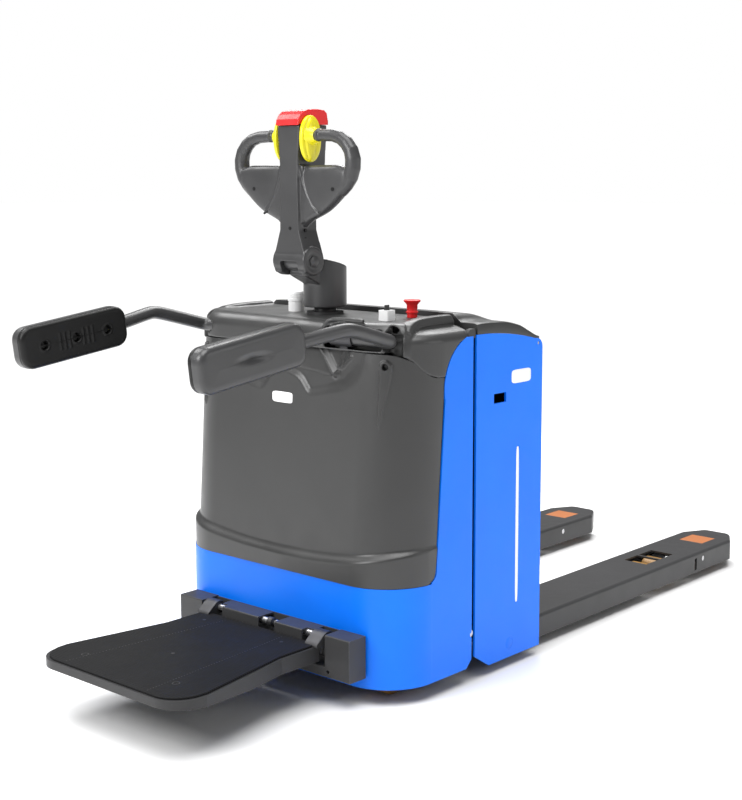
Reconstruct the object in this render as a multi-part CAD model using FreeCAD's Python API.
import FreeCAD, Part
import math
import os

Vec = FreeCAD.Vector

# Electric stand-on pallet truck, millimetres.
# +X runs towards the fork tips, +Y to the truck's left seen from the platform, +Z is up.
# X = 0 is the load face of the fork carriage, Y = 0 the centre plane, Z = 0 the floor.
# Every file is written shifted so that its origin is the middle of the truck's footprint.

# Overall
FORK_TIP_X = 1150.0
PLATFORM_END_X = -1088.0
FILE_SHIFT = -(FORK_TIP_X + PLATFORM_END_X) / 2
HALF_WIDTH = 376.0
SHEET = 5.0
SKIN = 4.0

# Lift: mast rails on the chassis and the two hydraulic cylinders beside them
LIFT_TRAVEL = 120.0
RAIL_Y = 324.0
RAIL_HALF = 28.0
RAIL_DEPTH = 42.0
RAIL_WALL = 6.0
SHOE_NECK = 10.0
CYLINDER_X = -268.0
CYLINDER_Y = 176.0
CYLINDER_TOP = 400.0
CYLINDER_BORE = 22.0
PISTON_ROD_RADIUS = 17.0

# Drive chassis
APRON_X = -562.0
CORNER_RADIUS = 130.0
SEAM_X = APRON_X + CORNER_RADIUS + 4.0
SKIRT_BOTTOM = 40.0
SKIRT_TOP = 277.0
CHASSIS_REAR_X = -279.0
PANEL_TOP = 841.0
BULKHEAD_X = -304.0
DECK_BOTTOM = 262.0
DECK_TOP = 274.0
HOOD_TOP = 812.0
HOOD_TOP_FRONT_X = -520.0
COVER_TOP = 880.0
COVER_FRONT_X = -519.5
COVER_RADIUS = 139.5

# Steering and drive unit
STEER_X = -387.0
DRIVE_RADIUS = 115.0
DRIVE_HALF_WIDTH = 37.5
SLEW_RADIUS = 58.0
SLEW_WIDTH = 16.0
MOTOR_RADIUS = 68.0
POST_NECK_RADIUS = 27.0
POST_RADIUS = 53.0
POST_BOTTOM = 897.0
POST_TOP = 1018.0

# Casters
CASTER_X = -420.0
CASTER_Y = 262.0
CASTER_RADIUS = 62.5
CASTER_TRAIL = 33.0

# Tiller
TILLER_X = -478.0
TILLER_Z = 1012.0
TILLER_FRONT_X = -508.0
HEAD_REAR_X = -414.0
TILLER_TOP = 1332.0
HEAD_HALF = 36.0
GRIP_X = -484.0
GRIP_Z = 1306.0
GRIP_RADIUS = 16.0
THROTTLE_X = -476.0
HORN_Z = 1200.0
ROCKER_Z = 1152.0

# Fork carriage
CARRIAGE_FRONT_X = -266.0
PLATE = 6.0
FRONT_PLATE_X = -232.0
FLOOR_Z = 125.0
REAR_PLATE_TOP = 780.0
COVER_PIN_X = -17.0
COVER_PIN_Z = 803.0

# Forks
FORK_Y = 256.5
FORK_HALF_WIDTH = 86.0
FORK_TOP = 86.0
FORK_SEAT = 85.0
FORK_BOTTOM = 26.0
FORK_HEEL_X = -90.0
FORK_WALL = 6.0

# Load wheels and their linkage
ROLLER_RADIUS = 38.0
ROLLER_HALF_WIDTH = 34.0
ROLLER_PITCH = 80.0
BOGIE_X = 730.0
LINK_Z = 62.0
ARM_X = 905.0
ARM_LENGTH = ARM_X - BOGIE_X
ARM_DROP = LINK_Z - ROLLER_RADIUS
ROCKER_X = -127.0
TIP_RADIUS = 12.5
LEVER_RADIUS = 27.0
LINK_PIN_RADIUS = 5.0
ROD_HALF_HEIGHT = 8.5
LINK_SWING = math.asin((ARM_DROP + LIFT_TRAVEL) / ARM_LENGTH) - math.asin(ARM_DROP / ARM_LENGTH)
HALF_SWING = LINK_SWING / 2
ROCKER_LENGTH = LIFT_TRAVEL / (2 * math.sin(HALF_SWING))
ROD_Z = LINK_Z - LEVER_RADIUS * (1 + math.cos(HALF_SWING)) / 2
ROD_Y = FORK_Y - 67.0
LEVER_Y = FORK_Y - 51.0

# Platform
PLATFORM_HINGE_X = -598.0
PLATFORM_HINGE_Z = 155.0
PLATFORM_REAR_X = -622.0
PLATFORM_TOP = 140.0
MAT_TOP = 145.0
BRACKET_FRONT_X = -618.0
BRACKET_TOP = 168.0
HOOK_YS = (-208.0, 164.0)
HOOK_WIDTH = 40.0
HOOK_FOOT_X = -637.0

# Emergency stop
STOP_X = -330.0
STOP_Y = -231.0
STOP_STEM = 13.0

# Side arms
SCOOP_Y = 298.0
COVER_WALL_Y = 262.0
ARM_TUBE_RADIUS = 16.0
SIDE_ARM_X = -494.0
SIDE_ARM_Z = 840.0
PAD_START_X = -774.0
PAD_END_X = -1070.0
PAD_Y = 300.0
PAD_SLOPE = math.radians(7.5)

RUNNING = 0.05
GAP = 0.4


def box(x0, x1, y0, y1, z0, z1):
    return Part.makeBox(x1 - x0, y1 - y0, z1 - z0, Vec(x0, y0, z0))


def rod(start, end, radius):
    axis = Vec(*end) - Vec(*start)
    return Part.makeCylinder(radius, axis.Length, Vec(*start), axis)


def cross_rod(x, z, y0, y1, radius):
    return rod((x, y0, z), (x, y1, z), radius)


def upright(x, y, z0, z1, radius):
    return rod((x, y, z0), (x, y, z1), radius)


def along_y(points, y0, y1):
    """Extrude a closed outline given as (x, z) points."""
    wire = Part.makePolygon([Vec(x, y0, z) for x, z in points + points[:1]])
    return Part.Face(wire).extrude(Vec(0, y1 - y0, 0))


def along_z(points, z0, z1):
    """Extrude a closed outline given as (x, y) points."""
    wire = Part.makePolygon([Vec(x, y, z0) for x, y in points + points[:1]])
    return Part.Face(wire).extrude(Vec(0, 0, z1 - z0))


def along_x(points, x0, x1):
    """Extrude a closed outline given as (y, z) points."""
    wire = Part.makePolygon([Vec(x0, y, z) for y, z in points + points[:1]])
    return Part.Face(wire).extrude(Vec(x1 - x0, 0, 0))


def mirrored(shape):
    return shape.mirror(Vec(0, 0, 0), Vec(0, 1, 0))


def both_sides(shape):
    return [shape, mirrored(shape)]


def fuse(*shapes):
    whole = shapes[0]
    for shape in shapes[1:]:
        whole = whole.fuse(shape)
    return whole.removeSplitter()


def cut(shape, *tools):
    for tool in tools:
        shape = shape.cut(tool)
    return shape.removeSplitter()


def is_parallel(edge, axis):
    ends = [vertex.Point for vertex in edge.Vertexes]
    if len(ends) < 2:
        return False
    run = ends[1] - ends[0]
    return run.Length > 0 and abs(run.normalize().dot(axis)) > 0.999


def round_along(shape, axis, radius, inside=lambda point: True):
    """Fillet the straight edges that run along an axis and whose middle passes a test."""
    edges = [edge for edge in shape.Edges if is_parallel(edge, axis) and inside(edge.CenterOfMass)]
    return shape.makeFillet(radius, edges)


def round_at_z(shape, z, radius, inside=lambda point: True):
    """Fillet the edges that lie in one horizontal plane and whose middle passes a test."""
    level = [edge for edge in shape.Edges
             if abs(edge.BoundBox.ZMin - z) < 0.01 and edge.BoundBox.ZLength < 0.01]
    return shape.makeFillet(radius, [edge for edge in level if inside(edge.CenterOfMass)])


def save(name, *solids):
    shape = solids[0].copy() if len(solids) == 1 else Part.makeCompound(list(solids))
    shape.translate(Vec(FILE_SHIFT, 0, 0))
    shape.exportStep(os.path.join("parts", name + ".step"))


# ---------------------------------------------------------------- drive chassis

def nose_wire(front_x, rear_x, half_width, radius, z):
    """Plan outline of the truck body: square at the rear, round corners at the front."""
    corner_x = front_x + radius
    corner_y = half_width - radius
    bow = radius * math.sqrt(0.5)
    left = Part.Arc(Vec(corner_x, half_width, z), Vec(corner_x - bow, corner_y + bow, z),
                    Vec(front_x, corner_y, z)).toShape()
    right = Part.Arc(Vec(front_x, -corner_y, z), Vec(corner_x - bow, -corner_y - bow, z),
                     Vec(corner_x, -half_width, z)).toShape()
    return Part.Wire([
        Part.makeLine(Vec(rear_x, half_width, z), Vec(corner_x, half_width, z)), left,
        Part.makeLine(Vec(front_x, corner_y, z), Vec(front_x, -corner_y, z)), right,
        Part.makeLine(Vec(corner_x, -half_width, z), Vec(rear_x, -half_width, z)),
        Part.makeLine(Vec(rear_x, -half_width, z), Vec(rear_x, half_width, z)),
    ])


def nose_block(front_x, rear_x, half_width, radius, z0, z1):
    return Part.Face(nose_wire(front_x, rear_x, half_width, radius, z0)).extrude(Vec(0, 0, z1 - z0))


def front_apron():
    outer = nose_block(APRON_X, SEAM_X, HALF_WIDTH, CORNER_RADIUS, SKIRT_BOTTOM, SKIRT_TOP)
    inner = nose_block(APRON_X + SHEET, SEAM_X + 1, HALF_WIDTH - SHEET, CORNER_RADIUS - SHEET,
                       SKIRT_BOTTOM - 1, SKIRT_TOP + 1)
    return cut(outer, inner)


def side_outline(grow, y0, y1):
    """Chassis side panel with the curved front edge that the hood meets."""
    low = Vec(-411 - grow, y0, 305)
    high = Vec(-381 - grow, y0, 700)
    crown = Vec(-303, y0, PANEL_TOP + grow)
    foot = Vec(-436 - grow, y0, 280 + grow)
    toe = Vec(-436 - grow, y0, SKIRT_BOTTOM)
    heel = Vec(CHASSIS_REAR_X - 20, y0, SKIRT_BOTTOM)
    heel_top = Vec(CHASSIS_REAR_X, y0, SKIRT_BOTTOM + 20)
    edges = [
        Part.makeLine(Vec(CHASSIS_REAR_X, y0, PANEL_TOP + grow), crown),
        Part.Arc(crown, Vec(-360 - grow, y0, 797 + grow), high).toShape(),
        Part.makeLine(high, low),
        Part.Arc(low, Vec(-418 - grow, y0, 287 + grow), foot).toShape(),
        Part.makeLine(foot, toe),
        Part.makeLine(toe, heel),
        Part.makeLine(heel, heel_top),
        Part.makeLine(heel_top, Vec(CHASSIS_REAR_X, y0, PANEL_TOP + grow)),
    ]
    return Part.Face(Part.Wire(edges)).extrude(Vec(0, y1 - y0, 0))


def side_panel():
    panel = side_outline(0, HALF_WIDTH - SHEET, HALF_WIDTH)
    ahead = box(APRON_X, SEAM_X, 0, HALF_WIDTH + 1, 0, PANEL_TOP)
    notch = cross_rod(CHASSIS_REAR_X, 120, HALF_WIDTH - SHEET - 1, HALF_WIDTH + 1, 6)
    return cut(panel, ahead, notch)


def drive_deck():
    plate = nose_block(APRON_X + SHEET, BULKHEAD_X - PLATE, HALF_WIDTH - SHEET, CORNER_RADIUS - SHEET,
                       DECK_BOTTOM, DECK_TOP)
    plate = cut(plate, upright(STEER_X, 0, DECK_BOTTOM - 1, DECK_TOP + 1, SLEW_RADIUS + SLEW_WIDTH))
    return fuse(plate, *both_sides(caster_mount()))


def bulkhead():
    wall = box(BULKHEAD_X - PLATE, BULKHEAD_X, -HALF_WIDTH + SHEET, HALF_WIDTH - SHEET, 60, 800)
    wheel_bay = box(BULKHEAD_X - 20, BULKHEAD_X + 20, -150, 150, 50, 290)
    linkage_bays = both_sides(box(BULKHEAD_X - 20, BULKHEAD_X + 20, FORK_Y - 13, FORK_Y + 13, 100, 144))
    hose_hole = rod((BULKHEAD_X - 20, 0, 600), (BULKHEAD_X + 20, 0, 600), 30)
    wall = cut(wall, wheel_bay, hose_hole, *linkage_bays)
    return fuse(wall, *both_sides(rocker_guide()))


def guide_rail():
    front = BULKHEAD_X + RAIL_DEPTH
    body = box(BULKHEAD_X, front, RAIL_Y - RAIL_HALF, RAIL_Y + RAIL_HALF, 150, 760)
    hollow = box(BULKHEAD_X + RAIL_WALL, front - RAIL_WALL,
                 RAIL_Y - RAIL_HALF + RAIL_WALL, RAIL_Y + RAIL_HALF - RAIL_WALL, 149, 761)
    mouth = box(front - RAIL_WALL - 1, front + 1, RAIL_Y - SHOE_NECK - 2, RAIL_Y + SHOE_NECK + 2, 149, 761)
    return cut(body, hollow, mouth)


def guide_shoe(z):
    front = BULKHEAD_X + RAIL_DEPTH
    block = box(BULKHEAD_X + RAIL_WALL + GAP, front - RAIL_WALL - GAP,
                RAIL_Y - RAIL_HALF + RAIL_WALL + GAP, RAIL_Y + RAIL_HALF - RAIL_WALL - GAP, z, z + 80)
    neck = box(front - RAIL_WALL - 2, FRONT_PLATE_X, RAIL_Y - SHOE_NECK, RAIL_Y + SHOE_NECK, z + 10, z + 70)
    return fuse(block, neck)


def rocker_tip():
    return (ROCKER_X - ROCKER_LENGTH * math.cos(HALF_SWING), LINK_Z + LIFT_TRAVEL / 2)


def rocker_guide():
    """Slotted block that holds the rocker's tip at one height while the carriage rises."""
    tip_z = rocker_tip()[1]
    block = box(BULKHEAD_X, -258, FORK_Y - 17, FORK_Y + 17, tip_z - 27, tip_z + 27)
    slot = box(-296, -257, FORK_Y - 18, FORK_Y + 18, tip_z - TIP_RADIUS - 1.1, tip_z + TIP_RADIUS + 1.1)
    return cut(block, slot)


def lift_cylinder():
    barrel = upright(CYLINDER_X, CYLINDER_Y, 92, CYLINDER_TOP, 29)
    bore = upright(CYLINDER_X, CYLINDER_Y, 100, CYLINDER_TOP - 14, CYLINDER_BORE)
    gland = upright(CYLINDER_X, CYLINDER_Y, 100, CYLINDER_TOP + 1, PISTON_ROD_RADIUS + RUNNING)
    foot = box(BULKHEAD_X, -240, CYLINDER_Y - 22, CYLINDER_Y + 30, 70, 92)
    clamp = box(BULKHEAD_X, -290, CYLINDER_Y - 20, CYLINDER_Y + 20, 320, 360)
    return cut(fuse(barrel, foot, clamp), bore, gland)


def piston_rod():
    shaft = upright(CYLINDER_X, CYLINDER_Y, 112, CYLINDER_TOP + 20, PISTON_ROD_RADIUS)
    piston = upright(CYLINDER_X, CYLINDER_Y, 104, 124, CYLINDER_BORE - RUNNING)
    return fuse(shaft, piston)


def hood_loft(inset, z0, z1):
    """Leaning, round-cornered body of the plastic hood, inset by the skin for its inner face."""
    def wire(z, front_x):
        return nose_wire(front_x + inset, CHASSIS_REAR_X, HALF_WIDTH - inset, CORNER_RADIUS + 10 - inset, z)
    lean = (HOOD_TOP_FRONT_X - APRON_X - 6) / (HOOD_TOP - SKIRT_TOP)
    low_x = APRON_X + 6 + lean * (z0 - SKIRT_TOP)
    high_x = APRON_X + 6 + lean * (z1 - SKIRT_TOP)
    return Part.makeLoft([wire(z0, low_x), wire(z1, high_x)], True)


def flank_seam(drop):
    """Space above the seam, where the hood dips along the flanks and the cover reaches down."""
    crest = Part.BSplineCurve()
    heights = [(-500, HOOD_TOP), (-476, 804), (-456, 787), (-434, 766), (-412, 757), (-385, 755)]
    points = [Vec(x, -400, z - drop) for x, z in heights]
    crest.interpolate(points)
    corners = [points[-1], Vec(-290, -400, points[-1].z), Vec(-290, -400, HOOD_TOP + 20),
               Vec(-500, -400, HOOD_TOP + 20), points[0]]
    edges = [crest.toShape()] + [Part.makeLine(a, b) for a, b in zip(corners, corners[1:])]
    return Part.Face(Part.Wire(edges)).extrude(Vec(0, 800, 0))


def without_flanks(shell):
    """Cut a shell back to the curved front edges of the side panels."""
    sides = [side_outline(1, 300, HALF_WIDTH + 5), side_outline(1, -HALF_WIDTH - 5, -300)]
    rear = box(BULKHEAD_X - PLATE - 1, 0, -400, 400, 0, 1000)
    return cut(shell, rear, *sides)


def front_hood():
    body = hood_loft(0, SKIRT_TOP + 1, HOOD_TOP)
    band = nose_block(APRON_X - 3, CHASSIS_REAR_X, HALF_WIDTH, CORNER_RADIUS + 8, SKIRT_TOP + 1, 352)
    hollow = hood_loft(SKIN, SKIRT_TOP - 10, HOOD_TOP + 10)
    return cut(without_flanks(cut(fuse(body, band), hollow)), flank_seam(1))


def cover_skirt():
    """Strips that the top cover sends down its flanks to the dipped seam."""
    wall = nose_block(COVER_FRONT_X, CHASSIS_REAR_X, HALF_WIDTH, COVER_RADIUS, 700, HOOD_TOP + 6)
    inside = nose_block(COVER_FRONT_X + SKIN, CHASSIS_REAR_X + 1, HALF_WIDTH - SKIN, COVER_RADIUS - SKIN,
                        690, HOOD_TOP + 10)
    return without_flanks(cut(wall, inside).common(flank_seam(0)))


def shoulder_scoop(grow):
    """Recess in each front corner of the cover where the side arm's cross tube bends forward."""
    outline = [(-570, 872 + grow), (-490, 866 + grow), (-472 + grow, 852), (-472 + grow, 800), (-570, 800)]
    return along_y(outline, SCOOP_Y - grow, 400)


def top_cover():
    rear = CHASSIS_REAR_X - 3

    def ahead_of_rear(point):
        return point.x < rear - 1

    body = nose_block(COVER_FRONT_X, rear, HALF_WIDTH, COVER_RADIUS, HOOD_TOP + 1, COVER_TOP)
    body = cut(round_at_z(body, COVER_TOP, 34, ahead_of_rear), *both_sides(shoulder_scoop(0)))
    hollow = nose_block(COVER_FRONT_X + SKIN, rear + 1, HALF_WIDTH - SKIN, COVER_RADIUS - SKIN,
                        HOOD_TOP, COVER_TOP - SKIN)
    hollow = cut(round_at_z(hollow, COVER_TOP - SKIN, 30, ahead_of_rear), *both_sides(shoulder_scoop(SKIN)))
    rear_wall = box(rear - SKIN, rear, -340, 340, HOOD_TOP + 1, COVER_TOP - SKIN)
    shell = fuse(cut(body, hollow), rear_wall, cover_skirt())
    sides = [side_outline(1, 360, HALF_WIDTH + 5), side_outline(1, -HALF_WIDTH - 5, -360)]
    post_hole = upright(STEER_X, 0, COVER_TOP - 30, COVER_TOP + 5, 45)
    arm_holes = cross_rod(SIDE_ARM_X, SIDE_ARM_Z, -SCOOP_Y - 10, SCOOP_Y + 10, ARM_TUBE_RADIUS + 1)
    front_wall = box(COVER_FRONT_X - 10, COVER_FRONT_X + 20, -COVER_WALL_Y, COVER_WALL_Y, 800, 880)
    stop_hole = upright(STOP_X, STOP_Y, COVER_TOP - 10, COVER_TOP + 1, STOP_STEM + RUNNING)
    return cut(shell, post_hole, stop_hole, cut(arm_holes, front_wall), *sides)


def arm_socket():
    """Bearing tube behind the cover's front wall that holds one side arm."""
    outer = cross_rod(SIDE_ARM_X, SIDE_ARM_Z, 130, 200, ARM_TUBE_RADIUS + 3.8)
    bore = cross_rod(SIDE_ARM_X, SIDE_ARM_Z, 129, 201, ARM_TUBE_RADIUS + RUNNING)
    stay = box(SIDE_ARM_X, BULKHEAD_X - PLATE, 150, 174, SIDE_ARM_Z - 60, SIDE_ARM_Z - 10)
    return cut(fuse(outer, stay), bore)


def slewing_ring():
    ring = upright(STEER_X, 0, DECK_BOTTOM, DECK_TOP + 10, SLEW_RADIUS + SLEW_WIDTH)
    return cut(ring, upright(STEER_X, 0, DECK_BOTTOM - 1, DECK_TOP + 11, SLEW_RADIUS))


def post_bush():
    ring = upright(STEER_X, 0, COVER_TOP - 26, COVER_TOP + 6, 45)
    return cut(ring, upright(STEER_X, 0, COVER_TOP - 27, COVER_TOP + 7, POST_NECK_RADIUS + RUNNING))


def pump_unit():
    motor = cross_rod(-400, 335, -350, -230, 52)
    pump = cross_rod(-400, 335, -230, -180, 34)
    foot = box(-440, -360, -340, -240, DECK_TOP, 290)
    return fuse(motor, pump, foot)


def oil_tank():
    tank = box(-470, -320, -345, -150, 400, 520)
    tank = round_along(tank, Vec(0, 0, 1), 16)
    filler = upright(-440, -300, 520, 545, 18)
    legs = [box(-330, -320, y, y + 20, DECK_TOP, 400) for y in (-345, -170)]
    return fuse(tank, filler, *legs)


def motor_controller():
    back = box(-330, BULKHEAD_X - PLATE, 150, 330, 330, 540)
    fins = [box(-362, -330, 158 + 22 * n, 164 + 22 * n, 330, 540) for n in range(8)]
    return fuse(back, *fins)


def caster_mount():
    plate = box(CASTER_X - 50, CASTER_X + 50, CASTER_Y - 45, CASTER_Y + 45, DECK_BOTTOM - 10, DECK_BOTTOM)
    tower = upright(CASTER_X, CASTER_Y, 158, DECK_BOTTOM - 10, 30)
    return cut(fuse(plate, tower), upright(CASTER_X, CASTER_Y, 150, 216, 10 + RUNNING))


def caster_fork():
    axle_x = CASTER_X - CASTER_TRAIL
    crown = box(CASTER_X - 34, CASTER_X + 34, CASTER_Y - 33, CASTER_Y + 33, 134, 144)
    head = upright(CASTER_X, CASTER_Y, 144, 157.5, 26)
    stem = upright(CASTER_X, CASTER_Y, 157.5, 210, 10)
    outline = [(axle_x - 18, 55), (axle_x + 18, 55), (CASTER_X + 34, 134), (CASTER_X - 34, 134)]
    cheek = along_y(outline, CASTER_Y + 28, CASTER_Y + 33)
    other = along_y(outline, CASTER_Y - 33, CASTER_Y - 28)
    axle = cross_rod(axle_x, CASTER_RADIUS, CASTER_Y - 36, CASTER_Y + 36, 8)
    return fuse(crown, head, stem, cheek, other, axle)


def caster_wheel():
    axle_x = CASTER_X - CASTER_TRAIL
    wheel = cross_rod(axle_x, CASTER_RADIUS, CASTER_Y - 25, CASTER_Y + 25, CASTER_RADIUS)
    wheel = wheel.makeFillet(6, [edge for edge in wheel.Edges if edge.Closed])
    return cut(wheel, cross_rod(axle_x, CASTER_RADIUS, CASTER_Y - 26, CASTER_Y + 26, 8 + RUNNING))


# ---------------------------------------------------------------- steering and drive

def drive_gearbox():
    outline = [(STEER_X - 48, 78), (STEER_X + 48, 78), (STEER_X + 62, 240), (STEER_X - 62, 240)]
    housing = round_along(along_y(outline, 44, 98), Vec(0, 1, 0), 18)
    flange = upright(STEER_X, 0, 236, DECK_BOTTOM - GAP, 92)
    bore = cross_rod(STEER_X, DRIVE_RADIUS, 40, 90, 22 + RUNNING)
    turntable = upright(STEER_X, 0, DECK_BOTTOM - 1, DECK_TOP + 12, SLEW_RADIUS - RUNNING)
    return cut(fuse(housing, flange, turntable), bore)


def traction_motor():
    body = upright(STEER_X, 0, DECK_TOP + 12, 500, MOTOR_RADIUS)
    ribs = [upright(STEER_X, 0, z, z + 6, MOTOR_RADIUS + 3) for z in range(320, 480, 20)]
    brake = fuse(upright(STEER_X, 0, 500, 540, 56), upright(STEER_X, 0, 540, 556, 40))
    return fuse(body, brake, *ribs)


def steering_post():
    neck = upright(STEER_X, 0, 556, POST_BOTTOM, POST_NECK_RADIUS)
    drum = upright(STEER_X, 0, POST_BOTTOM, POST_TOP, POST_RADIUS)
    slant = along_y([(STEER_X - 60, 1022), (STEER_X + 60, 988), (STEER_X + 60, 1030), (STEER_X - 60, 1030)],
                    -60, 60)
    tongue = along_y([(STEER_X, 930), (TILLER_X - 4, 977), (TILLER_X, TILLER_Z), (STEER_X, 1000)], -27, 27)
    knuckle = cross_rod(TILLER_X, TILLER_Z, -27, 27, 24)
    pin_bore = cross_rod(TILLER_X, TILLER_Z, -30, 30, 9 + RUNNING)
    return cut(fuse(neck, cut(drum, slant), tongue, knuckle), pin_bore)


def drive_hub():
    disc = cross_rod(STEER_X, DRIVE_RADIUS, -DRIVE_HALF_WIDTH, DRIVE_HALF_WIDTH, DRIVE_RADIUS - 25)
    dish = cross_rod(STEER_X, DRIVE_RADIUS, -DRIVE_HALF_WIDTH - 1, -12, 62)
    shaft = cross_rod(STEER_X, DRIVE_RADIUS, DRIVE_HALF_WIDTH, 86, 22)
    turns = [n * math.pi / 3 for n in range(6)]
    nuts = [cross_rod(STEER_X + 42 * math.cos(turn), DRIVE_RADIUS + 42 * math.sin(turn), -20, -12, 8)
            for turn in turns]
    return fuse(cut(disc, dish), shaft, *nuts)


def drive_tyre():
    tyre = cross_rod(STEER_X, DRIVE_RADIUS, -DRIVE_HALF_WIDTH, DRIVE_HALF_WIDTH, DRIVE_RADIUS)
    tyre = tyre.makeFillet(8, [edge for edge in tyre.Edges if edge.Closed])
    bore = cross_rod(STEER_X, DRIVE_RADIUS, -DRIVE_HALF_WIDTH - 1, DRIVE_HALF_WIDTH + 1, DRIVE_RADIUS - 25)
    return cut(tyre, bore)


# ---------------------------------------------------------------- tiller

def tiller_spine():
    """Hollow cast arm from the pivot up to the head, wider at its foot and its top."""
    side = along_y([
        (TILLER_FRONT_X, 984), (TILLER_X + 20, 984), (TILLER_X + 34, TILLER_Z + 10),
        (-446, 1060), (-446, 1110), (-430, 1190),
        (HEAD_REAR_X, 1236), (HEAD_REAR_X, TILLER_TOP), (TILLER_FRONT_X, TILLER_TOP),
    ], -60, 60)
    half = [(50, 975), (50, 1030), (32, 1085), (29, 1200), (31, 1260), (HEAD_HALF, 1310),
            (HEAD_HALF, TILLER_TOP)]
    front = along_x(half + [(-y, z) for y, z in reversed(half)], -560, -380)
    spine = round_along(side.common(front), Vec(0, 1, 0), 6, lambda point: point.x < TILLER_FRONT_X + 2)
    discs = cross_rod(TILLER_X, TILLER_Z, -52, 52, 35)
    fork_gap = fuse(box(-560, -380, -28, 28, 900, TILLER_Z + 38), cross_rod(TILLER_X, TILLER_Z, -28, 28, 48))
    front_wall = box(-560, TILLER_FRONT_X + 4, -30, 30, TILLER_Z, TILLER_Z + 60)
    pin_hole = cross_rod(TILLER_X, TILLER_Z, -60, 60, 9)
    button_well = box(THROTTLE_X - 20 - GAP, THROTTLE_X + 20 + GAP, -20 - GAP, 20 + GAP, TILLER_TOP - 30,
                      TILLER_TOP + 1)
    horn_well = rod((-476, 0, HORN_Z), (-400, 0, HORN_Z), 10 + RUNNING)
    rocker_well = box(-476, -400, -12 - GAP, 12 + GAP, ROCKER_Z - 18, ROCKER_Z + 18)
    return cut(fuse(spine, discs), cut(fork_gap, front_wall), pin_hole, button_well, horn_well, rocker_well)


def tiller_pin():
    shaft = cross_rod(TILLER_X, TILLER_Z, -54, 54, 9)
    hexagon = [(TILLER_X + 5 * math.cos(n * math.pi / 3), TILLER_Z + 5 * math.sin(n * math.pi / 3))
               for n in range(6)]
    return cut(shaft, along_y(hexagon, -55, -46))


def grip_bar():
    """Round handle bar from beside the head, out, down and into the wing."""
    line = [(76, GRIP_Z), (120, GRIP_Z + 1), (152, 1299), (177, 1276), (185, 1250), (178, 1222), (158, 1192)]
    curve = Part.BSplineCurve()
    curve.interpolate([Vec(GRIP_X, y, z) for y, z in line])
    section = Part.Wire(Part.makeCircle(GRIP_RADIUS, Vec(GRIP_X, 76, GRIP_Z), curve.tangent(0)[0]))
    return Part.Wire(curve.toShape()).makePipeShell([section], True, False)


def grip_wing():
    """Palm-sized plate below the finger gap."""
    outline = [(24, 1236), (140, 1236), (176, 1228), (196, 1216), (176, 1190), (149, 1160), (115, 1131),
               (66, 1109), (24, 1100)]
    wing = along_x(outline, GRIP_X - 17, GRIP_X + 17)
    return round_along(wing, Vec(1, 0, 0), 8, lambda point: point.y > 100)


def grip_loop():
    """One closed handle loop beside the tiller head."""
    stub = cross_rod(THROTTLE_X, GRIP_Z, HEAD_HALF - 2, 80, 9)
    collar = cross_rod(THROTTLE_X - 4, GRIP_Z, 66, 80, 14)
    return fuse(grip_wing(), grip_bar(), stub, collar)


def throttle_wing(side):
    y0, y1 = sorted((side * 38, side * 57))
    disc = cross_rod(0, 0, y0, y1, 50)
    squash = FreeCAD.Matrix()
    squash.A11 = 0.66
    squash.A33 = 1.09
    wing = disc.transformGeometry(squash)
    wing.translate(Vec(THROTTLE_X - 2, 0, GRIP_Z - 7))
    return cut(wing, cross_rod(THROTTLE_X, GRIP_Z, -70, 70, 9 + RUNNING))


def belly_button():
    """Red press button that caps the head between the throttle wings."""
    profile = along_y([
        (TILLER_FRONT_X, TILLER_TOP + 9), (HEAD_REAR_X, TILLER_TOP + 9), (HEAD_REAR_X, 1356), (-420, 1368),
        (-460, 1371), (-486, 1368), (-502, 1358),
    ], -HEAD_HALF - 1.5, HEAD_HALF + 1.5)
    stem = box(THROTTLE_X - 20, THROTTLE_X + 20, -20, 20, TILLER_TOP - 20, TILLER_TOP + 10)
    return fuse(round_along(profile, Vec(0, 1, 0), 3), stem)


def horn_button():
    return rod((-462, 0, HORN_Z), (-424, 0, HORN_Z), 10)


def lift_rocker():
    """Seesaw switch for raising and lowering the forks."""
    rocker = along_y([(-460, ROCKER_Z - 8), (-460, ROCKER_Z + 8), (-436, ROCKER_Z + 15), (-432, ROCKER_Z),
                      (-436, ROCKER_Z - 15)], -12, 12)
    return round_along(rocker, Vec(0, 1, 0), 2)


# ---------------------------------------------------------------- controls on the cover

def key_housing():
    body = box(-440, -410, -250, -220, COVER_TOP, COVER_TOP + 24)
    body = round_along(body, Vec(0, 0, 1), 5)
    return cut(body, upright(-425, -235, COVER_TOP + 6, COVER_TOP + 25, 7 + RUNNING))


def key():
    barrel = upright(-425, -235, COVER_TOP + 7, COVER_TOP + 26, 7)
    bow = box(-432, -418, -236.5, -233.5, COVER_TOP + 25, COVER_TOP + 36)
    return fuse(barrel, bow)


def stop_knob():
    stem = upright(STOP_X, STOP_Y, COVER_TOP - 22, COVER_TOP + 30, STOP_STEM)
    cap = upright(STOP_X, STOP_Y, COVER_TOP + 19, COVER_TOP + 42, 21)
    top = [edge for edge in cap.Edges if edge.Closed and edge.CenterOfMass.z > COVER_TOP + 40]
    return fuse(stem, cap.makeFillet(6, top))


def status_lamp():
    body = upright(-388, 98, COVER_TOP, COVER_TOP + 50, 20)
    ribs = [upright(-388, 98, COVER_TOP + z, COVER_TOP + z + 6, 22) for z in (4, 18, 32)]
    return fuse(body, *ribs)


# ---------------------------------------------------------------- platform and side arms

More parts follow.
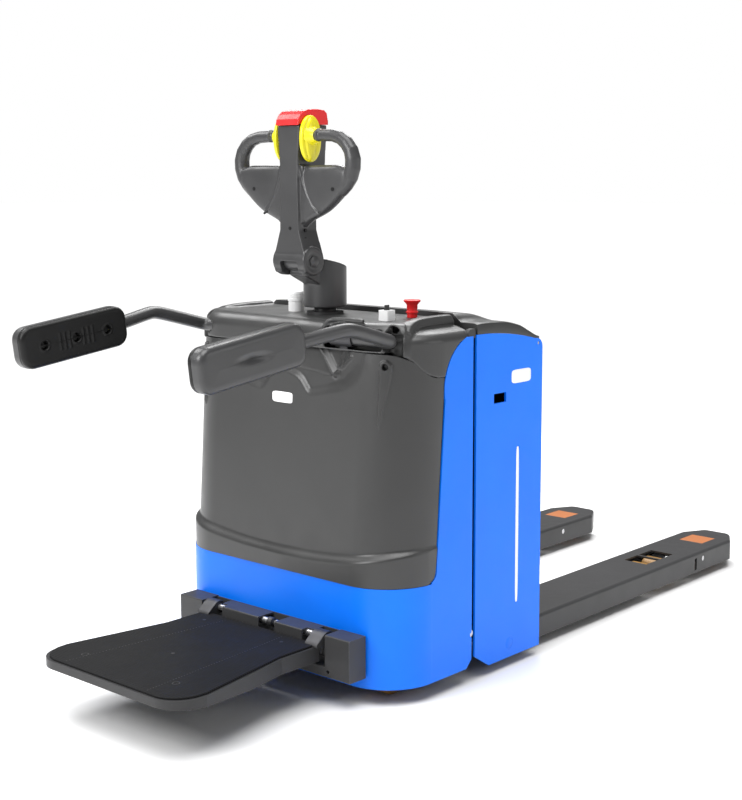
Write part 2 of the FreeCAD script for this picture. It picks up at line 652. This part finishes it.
def bracket_cover(y0, y1):
    """Bent sheet over the hinge rod, cut back in front so that the hook beside it can swing."""
    front = BRACKET_FRONT_X
    inner, outer = sorted((y0, y1), key=abs)
    side = 1 if outer > 0 else -1
    top = along_z([(front, inner), (front, outer), (front + 20, outer), (front + 20, outer + side * 20),
                   (APRON_X - 4, outer + side * 24), (APRON_X - 4, inner)], BRACKET_TOP - 6, BRACKET_TOP - 2)
    lip = box(front, front + 4, min(y0, y1), max(y0, y1), 100, BRACKET_TOP - 2)
    sheet = round_along(fuse(top, lip), Vec(0, 1, 0), 3, lambda point: point.x < front + 1 and point.z > 150)
    rib_y = outer - side * 16
    rib = box(front + 3, APRON_X - 3, min(rib_y, rib_y + side * 8), max(rib_y, rib_y + side * 8), 90,
              BRACKET_TOP - 5)
    return fuse(sheet, rib)


def platform_bracket():
    front = BRACKET_FRONT_X
    beam = box(front, APRON_X, -290, 290, 68, 93)
    beam = round_along(beam, Vec(0, 1, 0), 3, lambda point: point.x < front + 1)
    blocks = [round_along(box(front, APRON_X, y0, y1, 68, BRACKET_TOP), Vec(0, 1, 0), 3,
                          lambda point: point.x < front + 1)
              for y0, y1 in ((-290, -214), (210, 290))]
    back = box(APRON_X - 4, APRON_X, -214, 210, 90, BRACKET_TOP - 2)
    hole = rod((front - 1, -223, 82), (front + 12, -223, 82), 5)
    rod_bore = cross_rod(PLATFORM_HINGE_X, PLATFORM_HINGE_Z, -232, 232, 8)
    whole = fuse(beam, back, bracket_cover(8, 134), bracket_cover(-49, -139), *blocks)
    return cut(whole, hole, rod_bore)


def platform_rod():
    return cross_rod(PLATFORM_HINGE_X, PLATFORM_HINGE_Z, -232, 232, 8)


def platform_outline(grow, z0, z1):
    half = [(PLATFORM_REAR_X, 200), (-742, 200), (-845, 219), (-1005, 247), (PLATFORM_END_X, 240)]
    points = [(x - grow if x < -1000 else x, y + grow) for x, y in half]
    deck = along_z(points + [(x, -y) for x, y in reversed(points)], z0, z1)
    return round_along(deck, Vec(0, 0, 1), 70, lambda point: point.x < -1050)


def platform_deck():
    """Pressed tray whose side flanges get shallower towards the free end."""
    plate = platform_outline(0, 104, PLATFORM_TOP)
    hollow = platform_outline(-5, 100, PLATFORM_TOP - 5)
    taper = along_y([(-660, 90), (PLATFORM_END_X - 10, 90), (PLATFORM_END_X - 10, 122)], -300, 300)
    tray = cut(plate, hollow, taper)
    return fuse(tray, *[platform_hook(y) for y in HOOK_YS])


def platform_mat():
    mat = platform_outline(-6, PLATFORM_TOP, MAT_TOP)
    notches = [box(HOOK_FOOT_X - 2, PLATFORM_REAR_X + 1, y - 2, y + HOOK_WIDTH + 2, 130, 150)
               for y in HOOK_YS]
    return cut(round_at_z(mat, MAT_TOP, 2), *notches)


def platform_hook(y0):
    """Strap that rolls over the hinge rod and lies down on the deck."""
    x, z = PLATFORM_HINGE_X, PLATFORM_HINGE_Z
    strap = along_y([(x, z + 15), (x - 14, z + 11), (HOOK_FOOT_X + 6, 150), (HOOK_FOOT_X, 146),
                     (HOOK_FOOT_X, PLATFORM_TOP - 1), (PLATFORM_REAR_X, PLATFORM_TOP - 1),
                     (PLATFORM_REAR_X, 124), (x - 14, z - 20), (x, z - 15)], y0, y0 + HOOK_WIDTH)
    barrel = cross_rod(x, z, y0, y0 + HOOK_WIDTH, 15)
    return cut(fuse(strap, barrel), cross_rod(x, z, y0 - 1, y0 + HOOK_WIDTH + 1, 8 + RUNNING))


def side_arm_tube():
    """Bent tube: across the cover's shoulder, back over a hump and down into the pad."""
    points = [Vec(SIDE_ARM_X, 128, SIDE_ARM_Z), Vec(SIDE_ARM_X, 318, SIDE_ARM_Z), Vec(-655, 327, 884),
              Vec(-765, 304, 866), Vec(-860, PAD_Y, 853)]
    solids = [rod(tuple(a), tuple(b), ARM_TUBE_RADIUS) for a, b in zip(points, points[1:])]
    knees = [Part.makeSphere(ARM_TUBE_RADIUS, point) for point in points[1:-1]]
    return fuse(*solids, *knees)


def side_arm_pad():
    pad = box(PAD_END_X, PAD_START_X, PAD_Y - 24, PAD_Y + 24, -48, 48)
    pad = round_along(pad, Vec(0, 1, 0), 30)
    pad.rotate(Vec(PAD_START_X, 0, 0), Vec(0, 1, 0), -math.degrees(PAD_SLOPE))
    pad.translate(Vec(0, 0, 864))
    return cut(pad, side_arm_tube())


# ---------------------------------------------------------------- fork carriage

def carriage_side():
    """Side plate with the arched top edge that the battery cover rests along."""
    y0 = HALF_WIDTH - PLATE
    crown = Vec(CARRIAGE_FRONT_X, y0, 843)
    edges = [
        Part.Arc(Vec(0, y0, 792), Vec(-6, y0, 808), Vec(-26, y0, 815)).toShape(),
        Part.Arc(Vec(-26, y0, 815), Vec(-146, y0, arch_height(-146)), crown).toShape(),
        Part.makeLine(crown, Vec(CARRIAGE_FRONT_X, y0, 62)),
        Part.makeLine(Vec(CARRIAGE_FRONT_X, y0, 62), Vec(-210, y0, FORK_BOTTOM)),
        Part.makeLine(Vec(-210, y0, FORK_BOTTOM), Vec(0, y0, FORK_BOTTOM)),
        Part.makeLine(Vec(0, y0, FORK_BOTTOM), Vec(0, y0, 792)),
    ]
    plate = Part.Face(Part.Wire(edges)).extrude(Vec(0, PLATE, 0))
    grip_slot = box(-198, -149, y0 - 1, HALF_WIDTH + 1, 671, 695)
    shaft_hole = cross_rod(ROCKER_X, LINK_Z, y0 - 1, HALF_WIDTH + 1, 19)
    pin_hole = cross_rod(COVER_PIN_X, COVER_PIN_Z, y0 - 1, HALF_WIDTH + 1, 4)
    return cut(plate, grip_slot, shaft_hole, pin_hole)


def battery_tray():
    """Welded frame under and around the battery: front, floor and rear plates, horns and fork webs."""
    inner = HALF_WIDTH - PLATE
    front = box(FRONT_PLATE_X, FRONT_PLATE_X + PLATE, -inner, inner, FLOOR_Z, 790)
    floor = box(FRONT_PLATE_X + PLATE, -8, -inner, inner, FLOOR_Z, FLOOR_Z + 8)
    rear = box(-8, 0, -inner, inner, FORK_SEAT, REAR_PLATE_TOP)
    horn = box(CYLINDER_X - 25, FRONT_PLATE_X, CYLINDER_Y - 25, CYLINDER_Y + 25,
               CYLINDER_TOP + 20, CYLINDER_TOP + 45)
    webs = [box(-80, -8, FORK_Y + y, FORK_Y + y + 8, FORK_SEAT, FLOOR_Z) for y in (-80, 72)]
    return fuse(front, floor, rear, *both_sides(horn), *webs, *[mirrored(web) for web in webs])


def battery():
    case = round_along(box(-220, -14, -312, 312, FLOOR_Z + 8, 700), Vec(0, 0, 1), 10)
    lid = box(-216, -18, -308, 308, 700, 716)
    caps = [upright(-117 + x, y, 716, 724, 14) for x in (-45, 45) for y in range(-255, 256, 85)]
    plug = round_along(box(-140, -94, 160, 230, 716, 752), Vec(0, 0, 1), 6)
    return fuse(case, lid, plug, *caps)


def arch_height(x):
    """Height of the carriage's arched top edge."""
    share = (x - CARRIAGE_FRONT_X) / 240
    return 843 + 2 * share - 30 * share * share


def arched_skin(x0, x1, half_width):
    xs = [x0 + (x1 - x0) * n / 6 for n in range(7)]
    top = [(x, arch_height(x) + 9) for x in xs]
    bottom = [(x, arch_height(x) + 3) for x in reversed(xs)]
    return along_y(top + bottom, -half_width, half_width)


def battery_cover():
    """Arched lid over the battery, with two hinge lugs at its rear end."""
    lip = box(-262, -256, -360, 360, 815, 850)
    lug_outline = [(-60, 816), (-40, 796), (-10, 796), (-6, 814)]
    lug = cut(fuse(along_y(lug_outline, 352, 366), cross_rod(COVER_PIN_X, COVER_PIN_Z, 352, 366, 9)),
              cross_rod(COVER_PIN_X, COVER_PIN_Z, 350, 370, 4 + RUNNING))
    return fuse(arched_skin(-262, -70, HALF_WIDTH - 1), arched_skin(-71, -5, HALF_WIDTH - PLATE - 1), lip,
                *both_sides(lug))


def cover_pin():
    return cross_rod(COVER_PIN_X, COVER_PIN_Z, 353, HALF_WIDTH - 1, 4)


def rocker_bush():
    ring = cross_rod(ROCKER_X, LINK_Z, HALF_WIDTH - PLATE - 8, HALF_WIDTH, 19)
    return cut(ring, cross_rod(ROCKER_X, LINK_Z, HALF_WIDTH - PLATE - 9, HALF_WIDTH + 1, 15 + RUNNING))


# ---------------------------------------------------------------- forks and load wheels

def fork_outline(inset, z0, z1, heel_x):
    half = FORK_HALF_WIDTH - inset
    nose = FORK_TIP_X - inset
    points = [(heel_x, -half), (1075, -half), (nose, -44 + inset / 2), (nose, 44 - inset / 2), (1075, half),
              (heel_x, half)]
    block = along_z([(x, y + FORK_Y) for x, y in points], z0, z1)
    return round_along(block, Vec(0, 0, 1), 26 - inset, lambda point: point.x > 1000)


def fork():
    """Inverted channel with a closed, tapered tip, roller windows, a pad pocket and a milled heel seat."""
    body = fork_outline(0, FORK_BOTTOM, FORK_TOP, FORK_HEEL_X)
    body = round_along(body, Vec(1, 0, 0), 9, lambda point: point.z > FORK_TOP - 1)
    hollow = fork_outline(FORK_WALL, FORK_BOTTOM - 1, FORK_TOP - 5, FORK_HEEL_X - 1)
    windows = [box(x - 36, x + 36, FORK_Y - 38, FORK_Y + 38, FORK_TOP - 10, FORK_TOP + 1)
               for x in (BOGIE_X - ROLLER_PITCH / 2, BOGIE_X + ROLLER_PITCH / 2)]
    pocket = box(978, 1060, FORK_Y - 40, FORK_Y + 40, FORK_TOP - 10, FORK_TOP + 1)
    shaft_hole = cross_rod(ARM_X, LINK_Z, FORK_Y - 100, FORK_Y + 100, 8 + RUNNING)
    slot = box(853, 867, FORK_Y + 70, FORK_Y + 100, 34, 70)
    seat = box(FORK_HEEL_X - 1, 0, FORK_Y - 100, FORK_Y + 100, FORK_SEAT, FORK_TOP + 1)
    return cut(body, hollow, pocket, shaft_hole, slot, seat, *windows)


def entry_pad():
    pad = box(978.3, 1059.7, FORK_Y - 39.7, FORK_Y + 39.7, FORK_TOP - 12, FORK_TOP)
    return round_at_z(pad, FORK_TOP, 1)


def arm_shaft():
    return cross_rod(ARM_X, LINK_Z, FORK_Y - FORK_HALF_WIDTH + 1, FORK_Y + FORK_HALF_WIDTH - 1, 8)


def lever_pin(pivot_x, y0, y1):
    """Pin at the end of a short lever that hangs below a linkage pivot at rest."""
    x = pivot_x - LEVER_RADIUS * math.sin(HALF_SWING)
    z = LINK_Z - LEVER_RADIUS * math.cos(HALF_SWING)
    return cross_rod(x, z, y0, y1, LINK_PIN_RADIUS)


def hull_plate(circles, y0, y1):
    """Flat link: the band around two circles given as (x, z, radius)."""
    (xa, za, ra), (xb, zb, rb) = circles
    length = math.hypot(xb - xa, zb - za)
    nx, nz = (zb - za) / length, -(xb - xa) / length
    band = along_y([(xa + nx * ra, za + nz * ra), (xb + nx * rb, zb + nz * rb),
                    (xb - nx * rb, zb - nz * rb), (xa - nx * ra, za - nz * ra)], y0, y1)
    return fuse(band, cross_rod(xa, za, y0, y1, ra), cross_rod(xb, zb, y0, y1, rb))


def lever(pivot_x):
    """Short lever plate with its pin reaching into the push rod's eye."""
    x = pivot_x - LEVER_RADIUS * math.sin(HALF_SWING)
    z = LINK_Z - LEVER_RADIUS * math.cos(HALF_SWING)
    plate = hull_plate([(pivot_x, LINK_Z, 15), (x, z, 8)], LEVER_Y - 3, LEVER_Y + 3)
    return fuse(plate, lever_pin(pivot_x, ROD_Y - 7, LEVER_Y))


def load_arm():
    hub = cross_rod(ARM_X, LINK_Z, FORK_Y - 54, FORK_Y + 60, 15)
    cheeks = [hull_plate([(ARM_X, LINK_Z, 15), (BOGIE_X, ROLLER_RADIUS, 11)], y, y + 6)
              for y in (FORK_Y - 54, FORK_Y + 48)]
    stubs = [cross_rod(BOGIE_X, ROLLER_RADIUS, FORK_Y - 48, FORK_Y - 40, 7),
             cross_rod(BOGIE_X, ROLLER_RADIUS, FORK_Y + 40, FORK_Y + 48, 7)]
    bore = cross_rod(ARM_X, LINK_Z, FORK_Y - 80, FORK_Y + 80, 8 + RUNNING)
    return cut(fuse(hub, lever(ARM_X), *cheeks, *stubs), bore)


def bogie():
    """Two cheek plates and the two roller axles, free to tilt on the arm's stub pins."""
    x0 = BOGIE_X - ROLLER_PITCH / 2
    x1 = BOGIE_X + ROLLER_PITCH / 2
    cheeks = [hull_plate([(x0, ROLLER_RADIUS, 12), (x1, ROLLER_RADIUS, 12)], y, y + 6)
              for y in (FORK_Y - 46, FORK_Y + 40)]
    axles = [cross_rod(x, ROLLER_RADIUS, FORK_Y - 46, FORK_Y + 46, 8) for x in (x0, x1)]
    bore = cross_rod(BOGIE_X, ROLLER_RADIUS, FORK_Y - 60, FORK_Y + 60, 7 + RUNNING)
    return cut(fuse(*cheeks, *axles), bore)


def load_roller(x):
    roller = cross_rod(x, ROLLER_RADIUS, FORK_Y - ROLLER_HALF_WIDTH, FORK_Y + ROLLER_HALF_WIDTH,
                       ROLLER_RADIUS)
    roller = roller.makeFillet(4, [edge for edge in roller.Edges if edge.Closed])
    return cut(roller, cross_rod(x, ROLLER_RADIUS, FORK_Y - 50, FORK_Y + 50, 8 + RUNNING))


def push_rod():
    """Flat bar with an upright slotted eye at each end."""
    pins = [pivot - LEVER_RADIUS * math.sin(HALF_SWING) for pivot in (ROCKER_X, ARM_X)]
    bar = box(pins[0] - 14, pins[1] + 14, ROD_Y - 5, ROD_Y + 5,
              ROD_Z - ROD_HALF_HEIGHT, ROD_Z + ROD_HALF_HEIGHT)
    slack = LEVER_RADIUS * (1 - math.cos(HALF_SWING)) / 2
    width = LINK_PIN_RADIUS + GAP
    eyes = [box(x - width, x + width, ROD_Y - 6, ROD_Y + 6, ROD_Z - slack - width, ROD_Z + slack + width)
            for x in pins]
    return cut(bar, *eyes)


def rocker_shaft():
    """Torque shaft across the carriage with two long levers and two short ones."""
    tip_x, tip_z = rocker_tip()
    shaft = cross_rod(ROCKER_X, LINK_Z, -HALF_WIDTH + 2, HALF_WIDTH - 2, 15)
    long_lever = hull_plate([(ROCKER_X, LINK_Z, 22), (tip_x, tip_z, 8)], FORK_Y - 10, FORK_Y + 10)
    tip = cross_rod(tip_x, tip_z, FORK_Y - 12, FORK_Y + 12, TIP_RADIUS)
    side = fuse(long_lever, tip, lever(ROCKER_X))
    return fuse(shaft, side, mirrored(side))


# ---------------------------------------------------------------- writing the files

def save_pair(name, shape):
    save(name + "_left", shape)
    save(name + "_right", mirrored(shape))


def save_both(name, shape):
    save(name, *both_sides(shape))


def save_chassis():
    save("front_apron", front_apron())
    save_both("side_panels", side_panel())
    save("drive_deck", drive_deck())
    save("bulkhead", bulkhead())
    save_both("guide_rails", guide_rail())
    save_both("lift_cylinders", lift_cylinder())
    save("front_hood", front_hood())
    save("top_cover", top_cover())
    save_both("arm_sockets", arm_socket())
    save("slewing_ring", slewing_ring())
    save("post_bush", post_bush())
    save("hydraulic_unit", pump_unit(), oil_tank())
    save("motor_controller", motor_controller())
    save("key_housing", key_housing())
    save("status_lamp", status_lamp())
    save("platform_bracket", platform_bracket())
    save("platform_rod", platform_rod())


def save_steering():
    save("drive_gearbox", drive_gearbox())
    save("traction_motor", traction_motor())
    save("steering_post", steering_post())
    save("drive_hub", drive_hub())
    save("drive_tyre", drive_tyre())
    save_pair("caster_fork", caster_fork())
    save_pair("caster_wheel", caster_wheel())


def save_tiller():
    save("tiller_arm", fuse(tiller_spine(), *both_sides(grip_loop())))
    save("tiller_pin", tiller_pin())
    save("throttle_wings", throttle_wing(1), throttle_wing(-1))
    save("belly_button", belly_button())
    save("lift_rocker", lift_rocker())
    save("horn_button", horn_button())
    save("key", key())
    save("stop_knob", stop_knob())


def save_platform_and_arms():
    save("platform_deck", platform_deck())
    save("platform_mat", platform_mat())
    save_pair("side_arm_tube", side_arm_tube())
    save_pair("side_arm_pad", side_arm_pad())


def save_carriage():
    save_both("carriage_sides", carriage_side())
    save("battery_tray", battery_tray())
    save("battery", battery())
    save("battery_cover", battery_cover())
    save("guide_shoes", *both_sides(guide_shoe(180)), *both_sides(guide_shoe(520)))
    save_both("piston_rods", piston_rod())
    save_both("cover_pins", cover_pin())
    save_both("rocker_bushes", rocker_bush())
    save("rocker_shaft", rocker_shaft())


def save_forks():
    save_pair("fork", fork())
    save_both("entry_pads", entry_pad())
    save_both("arm_shafts", arm_shaft())
    save_both("load_arms", load_arm())
    save_both("bogies", bogie())
    save_both("push_rods", push_rod())
    for place, x in (("front", BOGIE_X + ROLLER_PITCH / 2), ("rear", BOGIE_X - ROLLER_PITCH / 2)):
        save_pair("load_roller_" + place, load_roller(x))


os.makedirs("parts", exist_ok=True)
save_chassis()
save_steering()
save_tiller()
save_platform_and_arms()
save_carriage()
save_forks()
